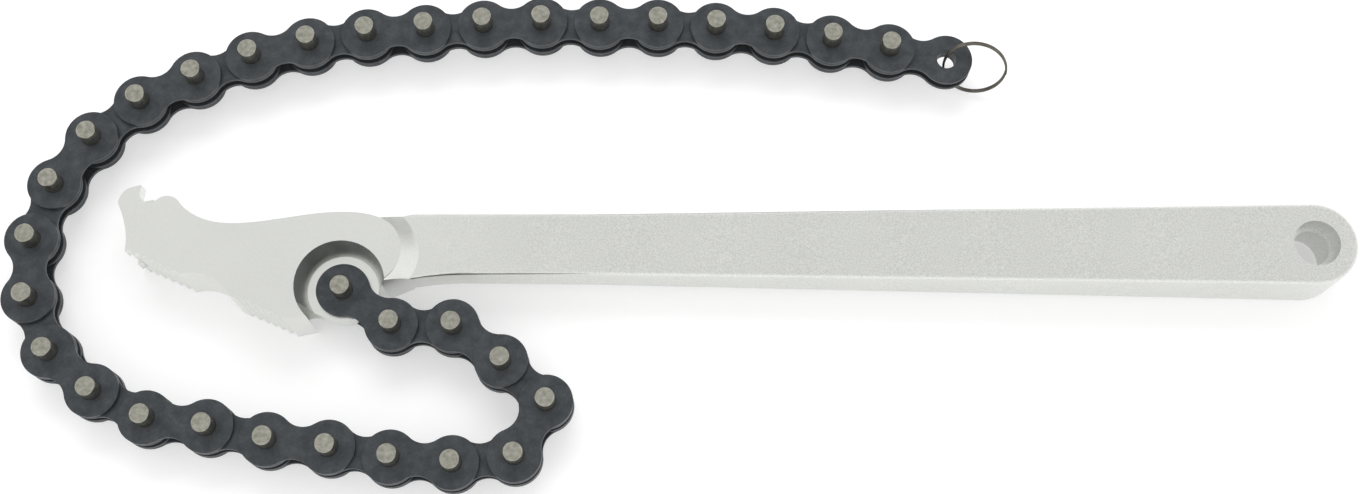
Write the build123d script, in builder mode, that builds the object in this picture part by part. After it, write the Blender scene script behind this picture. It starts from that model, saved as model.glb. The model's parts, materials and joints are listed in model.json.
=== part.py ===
"""Chain oil filter wrench, laid flat with its chain looped round the head.

Millimetres. The origin is the centre of the hanging hole on the tool's middle plane, +X runs
along the handle away from the head, and +Z is up through the tool's thickness.
"""

import os
from math import acos, cos, degrees, hypot, radians, sin

from build123d import *

# Chain
pitch = 15.875
plate_r = 7.0
waist_half = 4.2
plate_t = 1.25
inner_gap = 2.3
pin_r = 2.54
pin_stand_out = 5.35
pin_chamfer = 0.45
bush_wall = 0.95
running_clearance = 0.06
side_clearance = 0.1

# Change of direction in degrees at each pin, from the anchor pin to the free end
chain_turns = [
    -35, 34, -35, -6, -77, -54, -12, -4, 2, -5, 4, -18, -14, -25, -22, -19,
    -17, -16, -14, -5, -7, -5, -5, 0, -2, -4, 1, -3, -2, -3, -1, -1,
]

# Handle, from the hanging hole's centre to the anchor pin's centre and below it
reach = 253.9
drop = 12.3
neck_half_width = 8.3
end_half_width = 10.9
neck_thickness = 10.0
end_thickness = 18.2
straight_neck = 46.0
neck_root = 18.0
flare_length = 14.0
handle_edge_r = 1.2
hole_r = 4.8
counterbore_r = 6.05
counterbore_depth = 5.5

# Head, in places measured from the anchor pin's centre
pin_recess = 0.25
toe = (-56.1, 8.9)
toe_rise = 3.6
jaw_angle = -23.2
jaw_length = 46.5
toe_land = 16.2
heel_land = 16.0
scallop_depth = 2.6
tooth_pitch = 2.3
groove_r = 0.95
groove_out = 0.2
pocket_clearance = 2.3
pocket_draft = 2.4
web_lip = 1.2
heel_tip_angle = -134.6
heel_root_angle = -156.0
horn = (10.4, 1.0)
shoulder_centre = (6.5, 9.6)
shoulder_r = 8.9
shoulder_foot_r = 13.0
shoulder_end_angle = 65.0
back_crown = (0.6, 19.5)
back_valley = (-24.1, 16.5)
taper_start = 27.0

# Hook, in places measured from the centre of the notch that a chain pin drops into
notch_centre = (-50.9, 24.7)
notch_clearance = 0.2
notch_mouth_angle = -60.0
notch_floor_angle = -135.0
notch_lip_angle = 160.0
bump = (4.7, -0.8)
bump_foot = (8.2, -3.1)
finger_tip = (-2.5, 2.3)
finger_crest = (-5.0, 1.7)
finger_bend = (-7.3, 0.1)
finger_back = (-8.2, -2.9)
finger_waist = (-6.2, -7.7)
cheek_t = 4.05
slot_clearance = 0.2
slot_end_clearance = 0.5
slot_cutter_offset = 11.7

# Split ring
wire_r = 0.32
ring_r = 8.5
ring_turns = 2
ring_tilt = 63.0
coil_gap = 0.03
ring_off_axis = 0.4

# The inner link's width is also the web's thickness, and every layer outside it follows
web_t = inner_gap + 2 * plate_t
outer_plate_z = web_t / 2 + side_clearance
stack_half = outer_plate_z + plate_t
pin_half = stack_half + pin_stand_out
head_half = pin_half + pin_recess
slot_half = stack_half + slot_clearance
hook_half = slot_half + cheek_t

# Pins, bushes and the waisted plate
bore_r = pin_r + running_clearance
bush_r = bore_r + bush_wall
waist_arc_r = (pitch**2 / 4 + waist_half**2 - plate_r**2) / (2 * (plate_r - waist_half))
waist_arc_y = waist_half + waist_arc_r
waist_tangent_y = waist_arc_y * plate_r / (plate_r + waist_arc_r)

# Room for the chain's plates in the head
pocket_floor_r = plate_r + pocket_clearance
pocket_mouth_r = pocket_floor_r + pocket_draft
web_edge_r = plate_r + web_lip
slot_cutter_r = slot_cutter_offset + plate_r + slot_end_clearance

anchor = (-reach, -drop)
head_plane = Plane(origin=(*anchor, 0))
neck_x = neck_root - reach


def polar(radius, angle, centre=(0, 0)):
    """The point at a radius and an angle in degrees from a centre."""
    return (centre[0] + radius * cos(radians(angle)), centre[1] + radius * sin(radians(angle)))


def moved(place, centre):
    """A place that was measured from a centre, measured from that centre's own origin."""
    return (place[0] + centre[0], place[1] + centre[1])


def on_jaw(along, outward=0.0):
    """A point on the jaw's straight land line, measured from the toe."""
    start = polar(along, jaw_angle, toe)
    return polar(outward, jaw_angle - 90, start)


def link_outline():
    """The waisted plate between two pins, with the first pin at the sketch's origin."""
    with Locations((0, 0), (pitch, 0)):
        Circle(plate_r)
    with Locations((pitch / 2, 0)):
        Rectangle(pitch, 2 * waist_tangent_y)
    with Locations((pitch / 2, waist_arc_y), (pitch / 2, -waist_arc_y)):
        Circle(waist_arc_r, mode=Mode.SUBTRACT)


def outer_plates(link_plane):
    """The two outer plates of one link, with the holes that the pins are pressed into."""
    with BuildPart() as plates:
        with BuildSketch(link_plane.offset(outer_plate_z)):
            link_outline()
            with Locations((0, 0), (pitch, 0)):
                Circle(pin_r, mode=Mode.SUBTRACT)
        extrude(amount=plate_t)
        mirror(about=Plane.XY)
    return plates.part


def link_pins(link_plane, *places):
    """Extended pins that stand out of both plates, with chamfered ends."""
    with BuildPart() as pins:
        with BuildSketch(link_plane):
            with Locations(*places):
                Circle(pin_r)
        extrude(amount=pin_half, both=True)
        ends = pins.edges().filter_by(GeomType.CIRCLE).group_by(Axis.Z)
        chamfer(ends[0] + ends[-1], pin_chamfer)
    return pins.part


def inner_link(link_plane):
    """Two inner plates joined by their pressed bushes, with a running bore at each end."""
    with BuildPart() as link:
        with BuildSketch(link_plane.offset(inner_gap / 2)):
            link_outline()
        extrude(amount=plate_t)
        mirror(about=Plane.XY)
        with BuildSketch(link_plane):
            with Locations((0, 0), (pitch, 0)):
                Circle(bush_r)
        extrude(amount=inner_gap / 2, both=True)
        with BuildSketch(link_plane):
            with Locations((0, 0), (pitch, 0)):
                Circle(bore_r)
        extrude(amount=web_t, both=True, mode=Mode.SUBTRACT)
    return link.part


def handle_plan():
    """The bar seen from above, from inside the head to the round end."""
    taper_x = neck_x + straight_neck
    flare_at = (neck_x + flare_length, -neck_half_width)
    root_y = back_crown[1] - drop - 2 * handle_edge_r
    with BuildLine() as outline:
        flare = TangentArc(flare_at, moved(horn, anchor), tangent=(-1, 0))
        Polyline(
            flare @ 1,
            (shoulder_centre[0] - reach, root_y),
            (neck_x, neck_half_width),
            (taper_x, neck_half_width),
            (0, end_half_width),
        )
        ThreePointArc((0, end_half_width), (end_half_width, 0), (0, -end_half_width))
        Polyline((0, -end_half_width), (taper_x, -neck_half_width), flare_at)
    make_face(outline.edges())


def waste_outside(*edge):
    """What lies above an edge of points (x, height) and below its mirror image."""
    for side in (1, -1):
        profile = [(place_x, side * height) for place_x, height in edge]
        with BuildLine() as outline:
            Polyline(
                *profile,
                (profile[-1][0], side * 2 * head_half),
                (profile[0][0], side * 2 * head_half),
                close=True,
            )
        make_face(outline.edges())


def head_outline():
    """The head seen from above, anticlockwise from the toe, with the anchor pin at the origin."""
    heel_corner = on_jaw(jaw_length)
    heel_tip = polar(pocket_mouth_r, heel_tip_angle)
    heel_root = polar(pocket_mouth_r, heel_root_angle)
    web_start = heel_root_angle + degrees(acos(web_edge_r / pocket_mouth_r))
    horn_angle = Vector(horn).get_signed_angle(Vector(1, 0), Vector(0, 0, -1))
    web_end = horn_angle - degrees(acos(web_edge_r / hypot(*horn)))
    notch_r = pin_r + notch_clearance
    notch_mouth = polar(notch_r, notch_mouth_angle, notch_centre)
    toe_top = (toe[0], toe[1] + toe_rise)
    with BuildLine() as outline:
        Line(toe, on_jaw(toe_land))
        ThreePointArc(
            on_jaw(toe_land),
            on_jaw((toe_land + jaw_length - heel_land) / 2, -scallop_depth),
            on_jaw(jaw_length - heel_land),
        )
        Polyline(on_jaw(jaw_length - heel_land), heel_corner, heel_tip)
        ThreePointArc(
            heel_tip,
            polar(pocket_mouth_r, (heel_tip_angle + heel_root_angle) / 2),
            heel_root,
        )
        Line(heel_root, polar(web_edge_r, web_start))
        ThreePointArc(
            polar(web_edge_r, web_start),
            polar(web_edge_r, (web_start + web_end) / 2),
            polar(web_edge_r, web_end),
        )
        Line(polar(web_edge_r, web_end), horn)
        shoulder = ThreePointArc(
            horn,
            polar(shoulder_r, 0, shoulder_centre),
            polar(shoulder_r, shoulder_end_angle, shoulder_centre),
        )
        back = Spline(
            shoulder @ 1,
            back_crown,
            back_valley,
            moved(bump_foot, notch_centre),
            tangents=[shoulder % 1, (-1, 1)],
        )
        ThreePointArc(back @ 1, moved(bump, notch_centre), notch_mouth)
        notch = ThreePointArc(
            notch_mouth,
            polar(notch_r, notch_floor_angle, notch_centre),
            polar(notch_r, notch_lip_angle, notch_centre),
        )
        Polyline(notch @ 1, moved(finger_tip, notch_centre), moved(finger_crest, notch_centre))
        ThreePointArc(
            moved(finger_crest, notch_centre),
            moved(finger_bend, notch_centre),
            moved(finger_back, notch_centre),
        )
        ThreePointArc(
            moved(finger_back, notch_centre), moved(finger_waist, notch_centre), toe_top
        )
        Line(toe_top, toe)
    make_face(outline.edges())


def groove_places():
    """The middle of every groove between teeth, on both lands of the jaw."""
    first = tooth_pitch / 2
    toe_count = int(toe_land / tooth_pitch)
    heel_count = int(heel_land / tooth_pitch)
    on_toe = [on_jaw(first + tooth_pitch * n, groove_out) for n in range(toe_count)]
    on_heel = [
        on_jaw(jaw_length - first - tooth_pitch * n, groove_out) for n in range(heel_count)
    ]
    return on_toe + on_heel


# Shoulder: the ramp by which the thick head falls to the neck
with BuildPart() as shoulder_ramp:
    with BuildSketch(head_plane.offset(neck_thickness / 2)):
        with Locations(shoulder_centre):
            Circle(shoulder_foot_r)
    with BuildSketch(head_plane.offset(head_half)):
        with Locations(shoulder_centre):
            Circle(shoulder_r)
    loft()
    mirror(about=Plane.XY)
    with BuildSketch(head_plane):
        with Locations(shoulder_centre):
            Circle(shoulder_foot_r)
    extrude(amount=neck_thickness / 2, both=True)
    with BuildSketch():
        handle_plan()
    extrude(amount=head_half, both=True, mode=Mode.INTERSECT)

# Handle and head: one forging
with BuildPart() as handle:
    with BuildSketch():
        handle_plan()
    extrude(amount=end_thickness / 2, both=True)
    with BuildSketch(Plane.XZ):
        waste_outside(
            (-reach, neck_thickness / 2),
            (neck_x, neck_thickness / 2),
            (end_half_width, end_thickness / 2),
        )
    extrude(amount=reach, both=True, mode=Mode.SUBTRACT)
    bar_edges = handle.edges().filter_by(Axis.Z, reverse=True)
    outside_head = neck_x + handle_edge_r
    fillet(bar_edges.filter_by(lambda edge: edge.center().X > outside_head), handle_edge_r)

    with Locations(*[Location((0, 0, side * end_thickness / 2)) for side in (1, -1)]):
        Cylinder(counterbore_r, 2 * counterbore_depth, mode=Mode.SUBTRACT)
    Cylinder(hole_r, end_thickness, mode=Mode.SUBTRACT)

    with BuildSketch(head_plane):
        head_outline()
    extrude(amount=head_half, both=True)
    add(shoulder_ramp.part)

    # The head thins a little toward the hook
    hook_end = moved(moved(finger_back, notch_centre), anchor)
    with BuildSketch(Plane.XZ):
        past_hook = hook_end[0] - handle_edge_r
        waste_outside((past_hook, hook_half), (-reach - taper_start, head_half))
    extrude(amount=reach, both=True, mode=Mode.SUBTRACT)

    # Pocket on each face, which leaves the web that the anchor pin goes through
    for side in (1, -1):
        with BuildSketch(head_plane.offset(side * web_t / 2)):
            Circle(pocket_floor_r)
        with BuildSketch(head_plane.offset(side * head_half)):
            Circle(pocket_mouth_r)
        loft(mode=Mode.SUBTRACT)
    with BuildSketch(head_plane):
        Circle(bore_r)
    extrude(amount=web_t, both=True, mode=Mode.SUBTRACT)

    # Fork between the two hook cheeks, wide enough for the chain's plates
    with BuildSketch(head_plane):
        with Locations((notch_centre[0] - slot_cutter_offset, notch_centre[1])):
            Circle(slot_cutter_r)
    extrude(amount=slot_half, both=True, mode=Mode.SUBTRACT)

    # Serrations on both lands of the jaw
    with BuildSketch(head_plane):
        with Locations(*groove_places()):
            Circle(groove_r)
    extrude(amount=head_half, both=True, mode=Mode.SUBTRACT)
handle.part.label = "handle"
pieces = [handle.part]

# Chain: outer and inner links take turns, each hinged on the last one's far pin
x, y, heading = *anchor, 0
for number, turn in enumerate(chain_turns):
    heading += turn
    link_plane = Plane(origin=(x, y, 0), x_dir=(*polar(1, heading), 0))
    if number % 2 == 1:
        link = inner_link(link_plane)
        link.label = f"inner_link_{number // 2 + 1:02}"
        pieces.append(link)
    else:
        plates = outer_plates(link_plane)
        plates.label = f"outer_link_{number // 2 + 1:02}"
        if number == 0:
            anchor_pin = link_pins(link_plane, (0, 0))
            anchor_pin.label = "anchor_pin"
            pieces.append(anchor_pin)
            pins = link_pins(link_plane, (pitch, 0))
        else:
            pins = link_pins(link_plane, (0, 0), (pitch, 0))
        pins.label = f"link_pins_{number // 2 + 1:02}"
        pieces += [plates, pins]
    x, y = polar(pitch, heading, (x, y))

# Split ring: two turns of wire through the free end's bore, tilted across the link. Each half
# turn is an arc that climbs by half the wire's pitch, so it leaves the next one no corner.
wire_pitch = 2 * wire_r + coil_gap
ring_away = Vector(*polar(1, heading), 0)
ring_up = Vector(*polar(cos(radians(ring_tilt)), heading + 90), sin(radians(ring_tilt)))
ring_plane = Plane(
    origin=Vector(x, y, 0) + ring_away * (ring_r - ring_off_axis),
    x_dir=ring_away,
    z_dir=ring_away.cross(ring_up),
)


def on_ring(half_turns):
    """A point of the wire's middle, this many half turns from its first end."""
    climb = wire_pitch * (half_turns - ring_turns) / 2
    return ring_plane.from_local_coords((*polar(ring_r, 180 * half_turns), climb))


with BuildPart() as split_ring:
    with BuildLine() as wire:
        for half in range(2 * ring_turns):
            ThreePointArc(on_ring(half), on_ring(half + 1 / 2), on_ring(half + 1))
    with BuildSketch(Plane(origin=on_ring(0), z_dir=wire.edges()[0] % 0)):
        Circle(wire_r)
    sweep()
split_ring.part.label = "split_ring"
pieces.append(split_ring.part)

os.makedirs("parts", exist_ok=True)
for piece in pieces:
    export_step(piece, f"parts/{piece.label}.step")
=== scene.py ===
# %% [markdown]
# # A chain wrench, dressed in Blender
# The tool is a forged, plated handle with a toothed head, a chain that is pinned into the head,
# and a small wire ring on the chain's free end. The CAD model gives every place and every
# hinge. This lesson gives each part its looks: edges that catch the light, plating that is
# slightly uneven, blackened chain plates, and pins with bright turned ends.

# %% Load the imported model
import json
from math import atan2, cos, pi, radians, sin

import bmesh
import bpy
from mathutils import Matrix, Vector

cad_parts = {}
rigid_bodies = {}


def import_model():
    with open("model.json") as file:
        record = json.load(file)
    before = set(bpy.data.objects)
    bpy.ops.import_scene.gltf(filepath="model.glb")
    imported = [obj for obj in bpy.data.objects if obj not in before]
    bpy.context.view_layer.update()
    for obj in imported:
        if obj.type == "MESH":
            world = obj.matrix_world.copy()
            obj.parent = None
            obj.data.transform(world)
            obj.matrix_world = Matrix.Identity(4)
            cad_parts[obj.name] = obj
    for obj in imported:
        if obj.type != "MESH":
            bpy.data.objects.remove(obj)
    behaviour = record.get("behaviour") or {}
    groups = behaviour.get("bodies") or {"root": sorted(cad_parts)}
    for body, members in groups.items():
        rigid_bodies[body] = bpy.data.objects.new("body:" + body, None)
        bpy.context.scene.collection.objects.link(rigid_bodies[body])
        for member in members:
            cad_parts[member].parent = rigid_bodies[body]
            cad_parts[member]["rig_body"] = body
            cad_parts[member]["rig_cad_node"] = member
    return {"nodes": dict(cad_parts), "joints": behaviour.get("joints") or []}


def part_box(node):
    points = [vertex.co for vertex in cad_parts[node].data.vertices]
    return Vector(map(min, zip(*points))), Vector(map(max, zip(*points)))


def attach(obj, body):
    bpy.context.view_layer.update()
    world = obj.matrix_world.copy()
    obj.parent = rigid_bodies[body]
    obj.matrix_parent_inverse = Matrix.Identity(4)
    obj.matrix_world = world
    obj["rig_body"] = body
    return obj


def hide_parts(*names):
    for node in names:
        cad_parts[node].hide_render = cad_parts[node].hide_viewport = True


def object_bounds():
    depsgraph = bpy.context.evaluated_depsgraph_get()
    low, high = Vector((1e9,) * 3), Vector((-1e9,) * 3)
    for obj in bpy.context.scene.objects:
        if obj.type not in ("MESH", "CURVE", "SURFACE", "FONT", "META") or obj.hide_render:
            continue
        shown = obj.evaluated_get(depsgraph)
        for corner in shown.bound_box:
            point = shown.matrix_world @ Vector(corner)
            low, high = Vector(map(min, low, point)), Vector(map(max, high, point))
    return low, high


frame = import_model()
cad_box = [list(corner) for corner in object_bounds()]
print("CAD box in metres:", cad_box)

# %% [markdown]
# ## Camera
# The photograph looks down on the tool from a little in front of it. The camera's place and its
# three directions were worked out from the even spacing of the chain's pins, so they are written
# here as they came: right, up and back, each of length one.

# %% Set the camera
camera_place = Vector((-0.16981, -0.13512, 0.44825))
camera_right = Vector((0.99996, 0.00179, 0.00912))
camera_up = Vector((-0.00436, 0.95694, 0.29018))
camera_back = Vector((-0.00821, -0.29020, 0.95690))
camera_data = bpy.data.cameras.new("camera")
camera_data.sensor_width = 36
camera_data.lens = 46.79
camera = bpy.data.objects.new("camera", camera_data)
bpy.context.scene.collection.objects.link(camera)
turn = Matrix((camera_right, camera_up, camera_back)).transposed()
camera.matrix_world = Matrix.Translation(camera_place) @ turn.to_4x4()
bpy.context.scene.camera = camera
print("camera looks along", [round(value, 3) for value in -camera_back])

# %% [markdown]
# ## Node helpers
# Materials and Geometry Nodes are both trees of nodes. Two short helpers keep the later cells
# readable: one adds a node and fills its inputs by name, the other joins two sockets.


# %% Add and join nodes
def add_node(tree, kind, inputs=None, **settings):
    """Adds a node of a kind, with its settings and with values or sockets for its inputs."""
    node = tree.nodes.new(kind)
    for name, value in settings.items():
        setattr(node, name, value)
    for name, value in (inputs or {}).items():
        socket = node.inputs[name]
        if isinstance(value, bpy.types.NodeSocket):
            tree.links.new(value, socket)
        else:
            socket.default_value = value
    return node


def maths(tree, operation, first, second=0.0):
    """One sum on two numbers or sockets. Returns the socket of its result."""
    node = add_node(tree, "ShaderNodeMath", {0: first, 1: second}, operation=operation)
    return node.outputs[0]


def ramp(tree, factor, *stops):
    """A colour ramp through stops, each a place from 0 to 1 and a grey level or a colour."""
    node = add_node(tree, "ShaderNodeValToRGB", {"Fac": factor})
    elements = node.color_ramp.elements
    while len(elements) < len(stops):
        elements.new(0.5)
    for element, (place, colour) in zip(elements, stops):
        element.position = place
        element.color = (*colour, 1) if isinstance(colour, tuple) else (colour, colour, colour, 1)
    return node.outputs["Color"]


print("node helpers ready")

# %% [markdown]
# ## Floor, sky and lamp
# The photograph is a cut-out on white. A matt floor that is only lit from above comes out grey,
# so part of its brightness is a glow that only the camera and mirror-like metal can see, and
# the rest is real light, which lets the tool's shadow show. The sky is brighter at the horizon
# than overhead: that is what draws the white line along the handle's rounded front edge.

# %% Build the sky
world = bpy.data.worlds.new("studio")
bpy.context.scene.world = world
world.use_nodes = True
sky = world.node_tree
sky.nodes.clear()
direction = add_node(sky, "ShaderNodeTexCoord").outputs["Generated"]
height = add_node(sky, "ShaderNodeSeparateXYZ", {"Vector": direction}).outputs["Z"]
sky_colour = ramp(sky, height, (0.0, 0.78), (0.3, 1.0), (0.6, 0.75), (1.0, 0.73))
sky_strength = 1.18
lit = add_node(sky, "ShaderNodeBackground", {"Color": sky_colour, "Strength": sky_strength})
plain = add_node(sky, "ShaderNodeBackground", {"Color": (1, 1, 1, 1), "Strength": 1.0})
seen = add_node(sky, "ShaderNodeLightPath").outputs["Is Camera Ray"]
choice = add_node(sky, "ShaderNodeMixShader", {0: seen, 1: lit.outputs[0], 2: plain.outputs[0]})
add_node(sky, "ShaderNodeOutputWorld", {"Surface": choice.outputs[0]})
print("sky strength:", sky_strength)

# %% Lay the floor under the head
floor_height = cad_box[0][2]
floor_mesh = bpy.data.meshes.new("floor")
reach = 3.0
floor_mesh.from_pydata(
    [(x, y, floor_height - 0.0001) for x, y in
     ((-reach, -reach), (reach, -reach), (reach, reach), (-reach, reach))],
    [], [(0, 1, 2, 3)],
)
floor = bpy.data.objects.new("floor", floor_mesh)
bpy.context.scene.collection.objects.link(floor)
paper = bpy.data.materials.new("white_paper")
paper.use_nodes = True
tree = paper.node_tree
tree.nodes.clear()
path = add_node(tree, "ShaderNodeLightPath")
spot = add_node(tree, "ShaderNodeTexCoord").outputs["Object"]
grain = add_node(tree, "ShaderNodeTexNoise", {"Vector": spot, "Scale": 40.0, "Detail": 3.0})
tint = ramp(tree, grain.outputs["Fac"], (0.3, 0.68), (0.7, 0.70))
matt = add_node(tree, "ShaderNodeBsdfDiffuse", {"Color": tint})
seen = maths(tree, "MAXIMUM", path.outputs["Is Camera Ray"], path.outputs["Is Glossy Ray"])
seen = maths(tree, "MAXIMUM", seen, path.outputs["Is Transmission Ray"])
glow = add_node(
    tree, "ShaderNodeEmission",
    {"Color": (1, 1, 1, 1), "Strength": maths(tree, "MULTIPLY", seen, 0.42)},
)
both = add_node(tree, "ShaderNodeAddShader", {0: matt.outputs[0], 1: glow.outputs[0]})
add_node(tree, "ShaderNodeOutputMaterial", {"Surface": both.outputs[0]})
floor_mesh.materials.append(paper)
print("floor height in mm:", round(floor_height * 1000, 2))

# %% Hang a soft lamp behind the tool
lamp_data = bpy.data.lights.new("back_softbox", "AREA")
lamp_data.shape = "RECTANGLE"
lamp_data.size = 0.7
lamp_data.size_y = 0.35
lamp_data.energy = 2.5
lamp = bpy.data.objects.new("back_softbox", lamp_data)
bpy.context.scene.collection.objects.link(lamp)
lamp.visible_glossy = False
lamp.location = (-0.25, 0.5, 0.75)
aim = Vector((-0.17, 0.0, 0.0)) - lamp.location
lamp.rotation_euler = aim.to_track_quat("-Z", "Y").to_euler()
bpy.context.scene.view_settings.view_transform = "Standard"
print("lamp watts:", lamp_data.energy)

# %% [markdown]
# ## Plated steel
# The handle is a forging under a thin nickel and chrome plating. Plating follows what lies
# under it: fine grain from blasting on the bar, and a smoother ground face on the head. So the
# bump is a fine noise, the roughness wanders, and a few small dark nicks are scattered by a
# cell pattern that only keeps its rarest, smallest dots.


# %% Make a metal to start from
def new_metal(name, roughness, metallic=1.0):
    """A material with one shader. Returns the material, its tree, the shader and the place."""
    metal = bpy.data.materials.new(name)
    metal.use_nodes = True
    tree = metal.node_tree
    shader = tree.nodes["Principled BSDF"]
    shader.inputs["Metallic"].default_value = metallic
    shader.inputs["Roughness"].default_value = roughness
    place = add_node(tree, "ShaderNodeTexCoord").outputs["Object"]
    return metal, tree, shader, place


def noise(tree, place, scale, detail=3.0, roughness=0.5):
    """Cloudy noise with about `scale` clouds in a metre. Returns a socket from 0 to 1."""
    inputs = {"Vector": place, "Scale": scale, "Detail": detail, "Roughness": roughness}
    return add_node(tree, "ShaderNodeTexNoise", inputs).outputs["Fac"]


def mix(tree, factor, first, second, blend="MIX"):
    """Two colours or sockets mixed by a factor. Returns the result's socket."""
    node = add_node(tree, "ShaderNodeMix", data_type="RGBA", blend_type=blend)
    for socket, value in ((node.inputs[0], factor), (node.inputs[6], first), (node.inputs[7], second)):
        if isinstance(value, bpy.types.NodeSocket):
            tree.links.new(value, socket)
        else:
            socket.default_value = (*value, 1) if isinstance(value, tuple) else value
    return node.outputs[2]


print("metal helper ready")

# %% Plate the forging
plating, tree, shader, place = new_metal("satin_plating", 0.3)
clouds = noise(tree, place, 60.0)
fine = noise(tree, place, 2600.0, 2.0)
tone = ramp(tree, clouds, (0.3, (0.79, 0.80, 0.77)), (0.7, (0.815, 0.825, 0.79)))
speck = ramp(tree, fine, (0.35, 0.82), (0.65, 1.0))
along = add_node(tree, "ShaderNodeSeparateXYZ", {"Vector": place}).outputs["X"]
blasted = add_node(
    tree, "ShaderNodeMapRange",
    {"Value": along, "From Min": -0.25, "From Max": -0.19, "To Min": 0.2, "To Max": 1.0},
).outputs["Result"]
tone = mix(tree, blasted, tone, speck, "MULTIPLY")
cells = add_node(tree, "ShaderNodeTexVoronoi", {"Vector": place, "Scale": 85.0})
rare = add_node(tree, "ShaderNodeSeparateColor", {"Color": cells.outputs["Color"]}).outputs[0]
dot = maths(tree, "LESS_THAN", cells.outputs["Distance"], 0.035)
nick = maths(tree, "MULTIPLY", dot, maths(tree, "GREATER_THAN", rare, 0.95))
tone = mix(tree, nick, tone, (0.16, 0.16, 0.15))
tree.links.new(tone, shader.inputs["Base Color"])
gloss = ramp(tree, noise(tree, place, 220.0), (0.3, 0.28), (0.7, 0.34))
tree.links.new(gloss, shader.inputs["Roughness"])
grit = add_node(
    tree, "ShaderNodeBump",
    {"Height": fine, "Strength": maths(tree, "MULTIPLY", blasted, 0.45), "Distance": 0.00005},
)
waves = add_node(
    tree, "ShaderNodeBump",
    {"Height": noise(tree, place, 140.0), "Strength": 0.3, "Distance": 0.00005,
     "Normal": grit.outputs["Normal"]},
)
tree.links.new(waves.outputs["Normal"], shader.inputs["Normal"])
print("plating nodes:", len(tree.nodes))

# %% [markdown]
# ## Machined walls
# The pocket for the chain and the hanging hole are cut after forging, so their walls keep the
# tool's marks: fine rings that follow the cut. A sine of the height draws them, as a bump and
# as a faint change of tone. The walls are also given a darker base colour than the faces: that
# is painted shade for the inside of the pocket and the hole.

# %% Mark the machined walls
def new_cut(name, dark, light, spacing):
    """A machined steel with rings that lie a spacing apart, in metres."""
    metal, tree, shader, place = new_metal(name, 0.36)
    height = add_node(tree, "ShaderNodeSeparateXYZ", {"Vector": place}).outputs["Z"]
    wander = maths(tree, "MULTIPLY", noise(tree, place, 300.0), spacing)
    rings = maths(tree, "SINE", maths(
        tree, "MULTIPLY", maths(tree, "ADD", height, wander), 2 * pi / spacing
    ))
    rings = maths(tree, "MULTIPLY", maths(tree, "ADD", rings, 1.0), 0.5)
    stain = noise(tree, place, 500.0, 4.0)
    tone = mix(tree, ramp(tree, stain, (0.3, 0.0), (0.7, 1.0)), dark, light)
    tone = mix(tree, 1.0, tone, ramp(tree, rings, (0.0, 0.8), (1.0, 1.0)), "MULTIPLY")
    tree.links.new(tone, shader.inputs["Base Color"])
    cut = add_node(
        tree, "ShaderNodeBump", {"Height": rings, "Strength": 0.6, "Distance": 0.00005}
    )
    tree.links.new(cut.outputs["Normal"], shader.inputs["Normal"])
    return metal


# The dark base colours of both walls are painted shade for the inside of the pocket and the bore; the
# rings and stains on them are the tool's marks.
pocket_wall_painted_shade = new_cut("turned_pocket", (0.34, 0.34, 0.32), (0.50, 0.50, 0.47), 0.0005)
bored_wall_painted_shade = new_cut("bored_hole", (0.20, 0.18, 0.12), (0.36, 0.33, 0.24), 0.0006)
print("machined walls:", pocket_wall_painted_shade.name, bored_wall_painted_shade.name)

# %% [markdown]
# ## Chain steels
# The plates are blued: heated or dipped until a thin blue-black oxide covers them. That skin is
# not a metal any more, so the shader is only partly metallic, and rubbing has left it greyer
# here and there. The pins are bare turned steel, yellowish grey, with a mottled cut end.

# %% Blacken the plates
blued, tree, shader, place = new_metal("blued_plate", 0.42, 0.35)
rubbed = ramp(tree, noise(tree, place, 320.0, 5.0), (0.35, 0.0), (0.75, 1.0))
tone = mix(tree, rubbed, (0.042, 0.048, 0.054), (0.070, 0.078, 0.086))
streak = ramp(tree, noise(tree, place, 1500.0, 2.0), (0.4, 0.85), (0.6, 1.0))
tone = mix(tree, 1.0, tone, streak, "MULTIPLY")
tree.links.new(tone, shader.inputs["Base Color"])
gloss = ramp(tree, rubbed, (0.0, 0.5), (1.0, 0.38))
tree.links.new(gloss, shader.inputs["Roughness"])
skin = add_node(
    tree, "ShaderNodeBump",
    {"Height": noise(tree, place, 1800.0, 4.0), "Strength": 0.3, "Distance": 0.00004},
)
tree.links.new(skin.outputs["Normal"], shader.inputs["Normal"])
print("plate nodes:", len(tree.nodes))

# %% Turn the pins
turned, tree, shader, place = new_metal("turned_pin", 0.34)
mottle = noise(tree, place, 900.0, 4.0, 0.6)
tone = ramp(tree, mottle, (0.3, (0.27, 0.265, 0.22)), (0.7, (0.47, 0.46, 0.40)))
tree.links.new(tone, shader.inputs["Base Color"])
cut = add_node(
    tree, "ShaderNodeBump", {"Height": mottle, "Strength": 0.5, "Distance": 0.00008}
)
tree.links.new(cut.outputs["Normal"], shader.inputs["Normal"])
print("pin nodes:", len(tree.nodes))

# %% Darken the ring's wire
sprung, tree, shader, place = new_metal("spring_wire", 0.35, 0.8)
tone = ramp(
    tree, noise(tree, place, 500.0), (0.35, (0.10, 0.092, 0.078)), (0.7, (0.19, 0.175, 0.15))
)
tree.links.new(tone, shader.inputs["Base Color"])
print("wire nodes:", len(tree.nodes))

# %% [markdown]
# ## Where each link lies
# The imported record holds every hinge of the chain. Link after link, a body starts at its own
# hinge and points to the next one, so two neighbouring hinges give a link its place and its
# heading. Nothing has to be measured twice.

# %% Read the links from the hinges
millimetre = 0.001
hinges = [Vector(joint["pos_m"]) for joint in frame["joints"]]
link_bodies = [joint["child"] for joint in frame["joints"]][:-1]
links = []
for body, start, end in zip(link_bodies, hinges, hinges[1:]):
    links.append((body, start, atan2(end.y - start.y, end.x - start.x)))
pitch = (hinges[1] - hinges[0]).length
print(len(links), "links, pitch in mm:", round(pitch / millimetre, 3))

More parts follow.
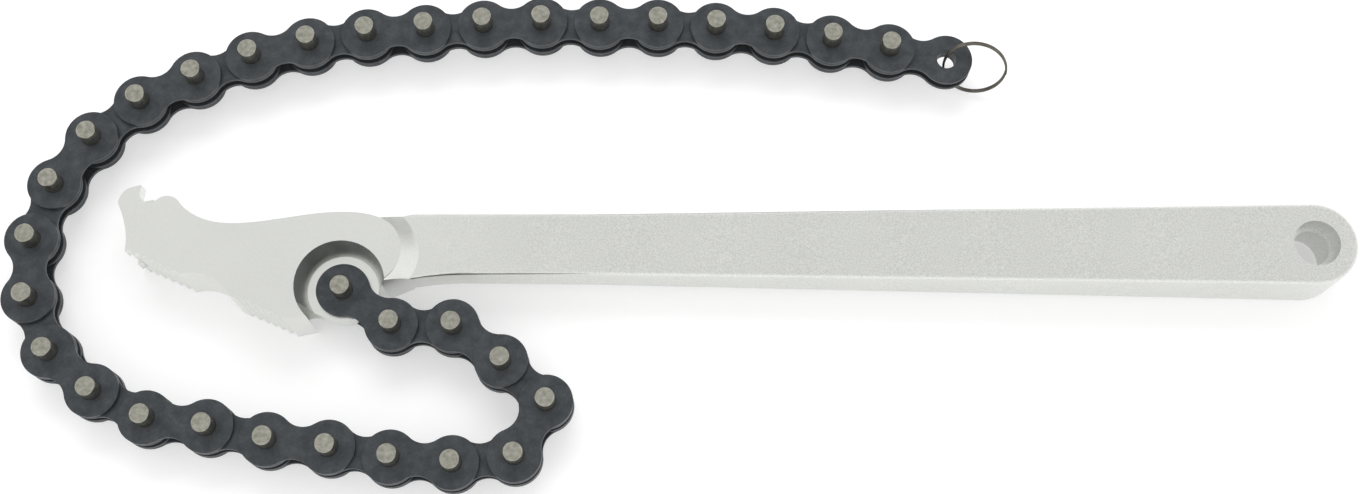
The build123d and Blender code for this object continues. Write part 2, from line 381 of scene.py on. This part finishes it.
# %% [markdown]
# ## Plates from Geometry Nodes
# Every plate has one outline: a round end about each pin, joined by a hollow arc on each
# side. Four arc nodes draw it. The same tree serves both kinds of link, because the height of
# the plates, the size of the holes and the bush between the plates are inputs. The plates and
# bushes are instanced on points, so each is drawn once and placed twice.


# %% Open a tree with named inputs
def new_tree(name, **inputs):
    """A geometry tree with named inputs. Returns the tree, its inputs and its output node."""
    tree = bpy.data.node_groups.new(name, "GeometryNodeTree")
    tree.interface.new_socket("Geometry", in_out="OUTPUT", socket_type="NodeSocketGeometry")
    for label, kind in inputs.items():
        tree.interface.new_socket(
            label.replace("_", " "), in_out="INPUT", socket_type="NodeSocket" + kind
        )
    given = tree.nodes.new("NodeGroupInput").outputs
    result = tree.nodes.new("NodeGroupOutput")
    return tree, given, result


def vector(tree, x=0.0, y=0.0, z=0.0):
    """Three numbers or sockets as one vector socket."""
    return add_node(tree, "ShaderNodeCombineXYZ", {"X": x, "Y": y, "Z": z}).outputs[0]


def moved(tree, geometry, translation=None, rotation=None):
    """Geometry after a move and a turn, each a vector socket."""
    inputs = {"Geometry": geometry}
    if translation is not None:
        inputs["Translation"] = translation
    if rotation is not None:
        inputs["Rotation"] = rotation
    return add_node(tree, "GeometryNodeTransform", inputs).outputs[0]


def joined(tree, *parts):
    """Several geometries in one."""
    node = tree.nodes.new("GeometryNodeJoinGeometry")
    for part in parts:
        tree.links.new(part, node.inputs[0])
    return node.outputs[0]


def close_tree(tree, geometry, finish, result):
    """Ends a tree: smooth faces, real geometry in place of instances, and its material."""
    smooth = add_node(tree, "GeometryNodeSetShadeSmooth", {"Geometry": geometry})
    real = add_node(tree, "GeometryNodeRealizeInstances", {"Geometry": smooth.outputs[0]})
    final = add_node(
        tree, "GeometryNodeSetMaterial", {"Geometry": real.outputs[0], "Material": finish}
    )
    tree.links.new(final.outputs[0], result.inputs[0])
    return len(tree.nodes)


print("tree helpers ready")


# %% Draw one plate
def arc(tree, centre, radius, start, sweep, points):
    """Part of a circle about a centre, with its angles in radians."""
    node = add_node(
        tree, "GeometryNodeCurveArc",
        {"Resolution": points, "Radius": radius, "Start Angle": start, "Sweep Angle": sweep},
    )
    return moved(tree, node.outputs["Curve"], centre)


def plate_outline(tree, length, radius, waist):
    """The closed outline of a waisted plate that starts at its first pin."""
    half = maths(tree, "MULTIPLY", length, 0.5)
    spread = maths(tree, "SUBTRACT", radius, waist)
    squares = maths(tree, "SUBTRACT", maths(tree, "MULTIPLY", waist, waist),
                    maths(tree, "MULTIPLY", radius, radius))
    squares = maths(tree, "ADD", squares, maths(tree, "MULTIPLY", half, half))
    hollow = maths(tree, "DIVIDE", squares, maths(tree, "MULTIPLY", spread, 2.0))
    rise = maths(tree, "ADD", hollow, waist)
    lean = maths(tree, "ARCTAN2", rise, half)
    round_sweep = maths(tree, "SUBTRACT", 2 * pi, maths(tree, "MULTIPLY", lean, 2.0))
    hollow_sweep = maths(tree, "SUBTRACT", maths(tree, "MULTIPLY", lean, 2.0), pi)
    back = maths(tree, "MULTIPLY", lean, -1.0)
    far_start = maths(tree, "SUBTRACT", lean, pi)
    near_start = maths(tree, "SUBTRACT", pi, lean)
    parts = (
        arc(tree, vector(tree, length), radius, far_start, round_sweep, 40),
        arc(tree, vector(tree, half, rise), hollow, back, hollow_sweep, 16),
        arc(tree, vector(tree), radius, lean, round_sweep, 40),
        arc(tree, vector(tree, half, maths(tree, "MULTIPLY", rise, -1.0)),
            hollow, near_start, hollow_sweep, 16),
    )
    drawn = add_node(tree, "GeometryNodeCurveToMesh", {"Curve": joined(tree, *parts)})
    closed = add_node(
        tree, "GeometryNodeMergeByDistance", {"Geometry": drawn.outputs[0], "Distance": 0.00001}
    )
    return add_node(tree, "GeometryNodeMeshToCurve", {"Mesh": closed.outputs[0]}).outputs[0]


def hole(tree, centre, radius):
    """A circle to be left open when the outline is filled."""
    node = add_node(tree, "GeometryNodeCurvePrimitiveCircle", {"Resolution": 32, "Radius": radius})
    return moved(tree, node.outputs["Curve"], centre)


def slab(tree, curves, thickness):
    """Flat curves filled and thickened evenly to both sides of their plane."""
    flat = add_node(tree, "GeometryNodeFillCurve", {"Curve": curves}, mode="NGONS")
    half = maths(tree, "MULTIPLY", thickness, -0.5)
    low = moved(tree, flat.outputs[0], vector(tree, z=half))
    raised = add_node(
        tree, "GeometryNodeExtrudeMesh",
        {"Mesh": low, "Offset": vector(tree, z=thickness), "Individual": False},
    )
    bottom = add_node(tree, "GeometryNodeFlipFaces", {"Mesh": low}).outputs[0]
    closed = add_node(
        tree, "GeometryNodeMergeByDistance",
        {"Geometry": joined(tree, raised.outputs[0], bottom), "Distance": 0.000002},
    )
    return closed.outputs[0]


print("plate drawing ready")

# %% Grow the tree of plates
plate_tree, given, result = new_tree(
    "waisted_plates", Pitch="Float", Plate_radius="Float", Waist_half_width="Float",
    Thickness="Float", Plate_height="Float", Hole_radius="Float", Bush_radius="Float",
    Bush_length="Float", Place="Vector", Heading="Float", Finish="Material",
)
tree = plate_tree
outline = plate_outline(
    tree, given["Pitch"], given["Plate radius"], given["Waist half width"]
)
ends = (vector(tree), vector(tree, given["Pitch"]))
holes = [hole(tree, end, given["Hole radius"]) for end in ends]
plate = slab(tree, joined(tree, outline, *holes), given["Thickness"])
levels = add_node(
    tree, "GeometryNodeMeshLine",
    {"Count": 2,
     "Start Location": vector(tree, z=maths(tree, "MULTIPLY", given["Plate height"], -1.0)),
     "Offset": vector(tree, z=maths(tree, "MULTIPLY", given["Plate height"], 2.0))},
)
plates = add_node(
    tree, "GeometryNodeInstanceOnPoints", {"Points": levels.outputs[0], "Instance": plate}
)
tube_curves = joined(
    tree, hole(tree, vector(tree), given["Bush radius"]),
    hole(tree, vector(tree), given["Hole radius"]),
)
tube = slab(tree, tube_curves, given["Bush length"])
seats = add_node(
    tree, "GeometryNodeMeshLine", {"Count": 2, "Offset": vector(tree, given["Pitch"])}
)
bushes = add_node(
    tree, "GeometryNodeInstanceOnPoints", {"Points": seats.outputs[0], "Instance": tube}
)
has_bush = add_node(
    tree, "FunctionNodeCompare",
    {0: given["Bush length"], 1: 0.0}, data_type="FLOAT", operation="GREATER_THAN",
)
bushes = add_node(
    tree, "GeometryNodeSwitch",
    {"Switch": has_bush.outputs[0], "True": bushes.outputs[0]}, input_type="GEOMETRY",
)
placed = moved(
    tree, joined(tree, plates.outputs[0], bushes.outputs[0]), given["Place"],
    vector(tree, z=given["Heading"]),
)
print("plate tree nodes:", close_tree(tree, placed, given["Finish"], result))

# %% [markdown]
# ## Pins from Geometry Nodes
# A pin is a plain bar that stands out of both plates, so that the hook can catch it. The tree
# sets one bar on each point of a short line of points. A Bevel modifier turns its chamfer
# afterwards, because the trees have no bevel node.

# %% Grow the tree of pins
pin_tree, given, result = new_tree(
    "link_pins", Pitch="Float", Pin_radius="Float", Pin_length="Float",
    Place="Vector", Heading="Float", Finish="Material",
)
tree = pin_tree
bar = add_node(
    tree, "GeometryNodeMeshCylinder",
    {"Vertices": 40, "Radius": given["Pin radius"], "Depth": given["Pin length"]},
)
seats = add_node(
    tree, "GeometryNodeMeshLine", {"Count": 2, "Offset": vector(tree, given["Pitch"])}
)
bars = add_node(
    tree, "GeometryNodeInstanceOnPoints",
    {"Points": seats.outputs[0], "Instance": bar.outputs["Mesh"]},
)
placed = moved(tree, bars.outputs[0], given["Place"], vector(tree, z=given["Heading"]))
print("pin tree nodes:", close_tree(tree, placed, given["Finish"], result))


# %% [markdown]
# ## From a tree to a finished piece
# A piece starts as an empty mesh with the tree as its modifier. Its inputs are set by the
# identifier of each socket, then a Bevel rounds the edges and a Weighted Normal keeps the flat
# faces flat in the light. The result is copied into a plain mesh, and only that is kept.

# %% Set a tree's inputs and take its mesh
def grow(name, tree, bevel, **values):
    """A plain mesh object made by a tree with these inputs, with its edges bevelled."""
    blank = bpy.data.objects.new(name + "_source", bpy.data.meshes.new(name + "_source"))
    bpy.context.scene.collection.objects.link(blank)
    maker = blank.modifiers.new("tree", "NODES")
    maker.node_group = tree
    for item in tree.interface.items_tree:
        key = item.name.replace(" ", "_")
        if item.in_out == "INPUT" and key in values:
            maker[item.identifier] = values[key]
    return finished(name, blank, bevel)


def finished(name, source, bevel, segments=2, angle=35):
    """Bevels and shades a source object, and leaves a plain mesh object of that name."""
    if bevel:
        rounding = source.modifiers.new("edges", "BEVEL")
        rounding.width = bevel
        rounding.segments = segments
        rounding.limit_method = "ANGLE"
        rounding.angle_limit = radians(angle)
        rounding.use_clamp_overlap = True
        source.modifiers.new("shading", "WEIGHTED_NORMAL").keep_sharp = True
    depsgraph = bpy.context.evaluated_depsgraph_get()
    mesh = bpy.data.meshes.new_from_object(source.evaluated_get(depsgraph), depsgraph=depsgraph)
    mesh.name = name
    mesh.polygons.foreach_set("use_smooth", [True] * len(mesh.polygons))
    piece = bpy.data.objects.new(name, mesh)
    bpy.context.scene.collection.objects.link(piece)
    bpy.data.objects.remove(source)
    return piece


print("piece maker ready")

# %% Make the chain
plate_radius = 7.0 * millimetre
plate_thickness = 1.25 * millimetre
inner_gap = 2.3 * millimetre
side_gap = 0.1 * millimetre
pin_radius = 2.54 * millimetre
pin_low, pin_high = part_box("anchor_pin")
inner_height = (inner_gap + plate_thickness) / 2
outer_height = inner_height + plate_thickness + side_gap
shared = {
    "Pitch": pitch, "Plate_radius": plate_radius, "Waist_half_width": 4.2 * millimetre,
    "Thickness": plate_thickness, "Finish": blued,
}
for number, (body, place, heading) in enumerate(links):
    label = f"{number // 2 + 1:02}"
    if number % 2 == 0:
        plates = grow(
            "outer_plates_" + label, plate_tree, 0.14 * millimetre, Plate_height=outer_height,
            Hole_radius=pin_radius, Bush_radius=2 * pin_radius, Bush_length=0.0,
            Place=place, Heading=heading, **shared,
        )
        pins = grow(
            "pins_" + label, pin_tree, 0.4 * millimetre, Pitch=pitch, Pin_radius=pin_radius,
            Pin_length=pin_high.z - pin_low.z, Place=place, Heading=heading, Finish=turned,
        )
        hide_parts("outer_link_" + label)
        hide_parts("link_pins_" + label, *(["anchor_pin"] if number == 0 else []))
        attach(pins, body)
    else:
        plates = grow(
            "inner_plates_" + label, plate_tree, 0.14 * millimetre, Plate_height=inner_height,
            Hole_radius=2.6 * millimetre, Bush_radius=3.55 * millimetre, Bush_length=inner_gap,
            Place=place, Heading=heading, **shared,
        )
        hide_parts("inner_link_" + label)
    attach(plates, body)
print("last plates:", plates.name, len(plates.data.polygons), "faces")

# %% [markdown]
# ## Handle and head
# The handle's CAD mesh has the right shape, but its edges are knife sharp and its round
# surfaces are made of loose triangles. A copy is merged, its flat areas are joined into single
# faces, and a narrow bevel gives the edges the small radius that plating and tumbling leave.

# %% Soften the handle
handle_copy = frame["nodes"]["handle"].copy()
handle_copy.data = frame["nodes"]["handle"].data.copy()
handle_copy.parent = None
bpy.context.scene.collection.objects.link(handle_copy)
shape = bmesh.new()
shape.from_mesh(handle_copy.data)
bmesh.ops.remove_doubles(shape, verts=shape.verts, dist=2e-6)
bmesh.ops.dissolve_limit(
    shape, angle_limit=radians(0.5), verts=shape.verts, edges=shape.edges
)
anchor = hinges[0]
pocket_reach = 12.5 * millimetre
hole_reach = 6.3 * millimetre
for face in shape.faces:
    middle = face.calc_center_median()
    wall = abs(face.normal.z) < 0.95
    face.smooth = True
    face.material_index = 0
    if wall and (middle - anchor).to_2d().length < pocket_reach:
        inward = (anchor - middle).to_2d().dot(face.normal.to_2d()) > 0
        face.material_index = 1 if inward else 0
    elif wall and middle.to_2d().length < hole_reach:
        face.material_index = 2
walls = [sum(face.material_index == index for face in shape.faces) for index in (1, 2)]
shape.to_mesh(handle_copy.data)
shape.free()
handle_copy.data.materials.clear()
for finish in (plating, pocket_wall_painted_shade, bored_wall_painted_shade):
    handle_copy.data.materials.append(finish)
print("pocket and hole wall faces:", walls)
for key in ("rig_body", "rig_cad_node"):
    if key in handle_copy:
        del handle_copy[key]
handle = finished("forged_handle", handle_copy, 0.3 * millimetre)
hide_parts("handle")
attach(handle, "handle")
print("handle faces:", len(handle.data.polygons))

# %% [markdown]
# ## Split ring
# Two turns of hard wire that lie against each other. A Spiral node draws the turns and a small
# circle is swept along them. The ring leans across the end link, and hangs in its bore.

# %% Grow the ring
ring_tree, given, result = new_tree(
    "wire_ring", Ring_radius="Float", Turns="Float", Rise="Float", Wire_radius="Float",
    Place="Vector", Turn="Vector", Finish="Material",
)
tree = ring_tree
turns = add_node(
    tree, "GeometryNodeCurveSpiral",
    {"Resolution": 64, "Rotations": given["Turns"], "Start Radius": given["Ring radius"],
     "End Radius": given["Ring radius"], "Height": given["Rise"]},
)
section = add_node(
    tree, "GeometryNodeCurvePrimitiveCircle", {"Resolution": 12, "Radius": given["Wire radius"]}
)
wire = add_node(
    tree, "GeometryNodeCurveToMesh",
    {"Curve": turns.outputs[0], "Profile Curve": section.outputs["Curve"], "Fill Caps": True},
)
down = vector(tree, z=maths(tree, "MULTIPLY", given["Rise"], -0.5))
placed = moved(tree, moved(tree, wire.outputs[0], down), given["Place"], given["Turn"])
print("ring tree nodes:", close_tree(tree, placed, given["Finish"], result))

ring_radius = 8.5 * millimetre
wire_radius = 0.32 * millimetre
ring_tilt = radians(63)
last_heading = links[-1][2]
away = Vector((cos(last_heading), sin(last_heading), 0))
up = Vector((-sin(last_heading) * cos(ring_tilt), cos(last_heading) * cos(ring_tilt),
             sin(ring_tilt)))
ring_turn = Matrix((away, up, away.cross(up))).transposed().to_euler()
ring = grow(
    "wire_ring", ring_tree, 0, Ring_radius=ring_radius, Turns=2.0,
    Rise=2 * (2 * wire_radius + 0.03 * millimetre), Wire_radius=wire_radius,
    Place=hinges[-1] + away * (ring_radius - 0.4 * millimetre), Turn=Vector(ring_turn),
    Finish=sprung,
)
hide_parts("split_ring")
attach(ring, "ring")
print("ring across in mm:", round(max(ring.dimensions) / millimetre, 2))

# %% Update the scene
bpy.context.view_layer.update()
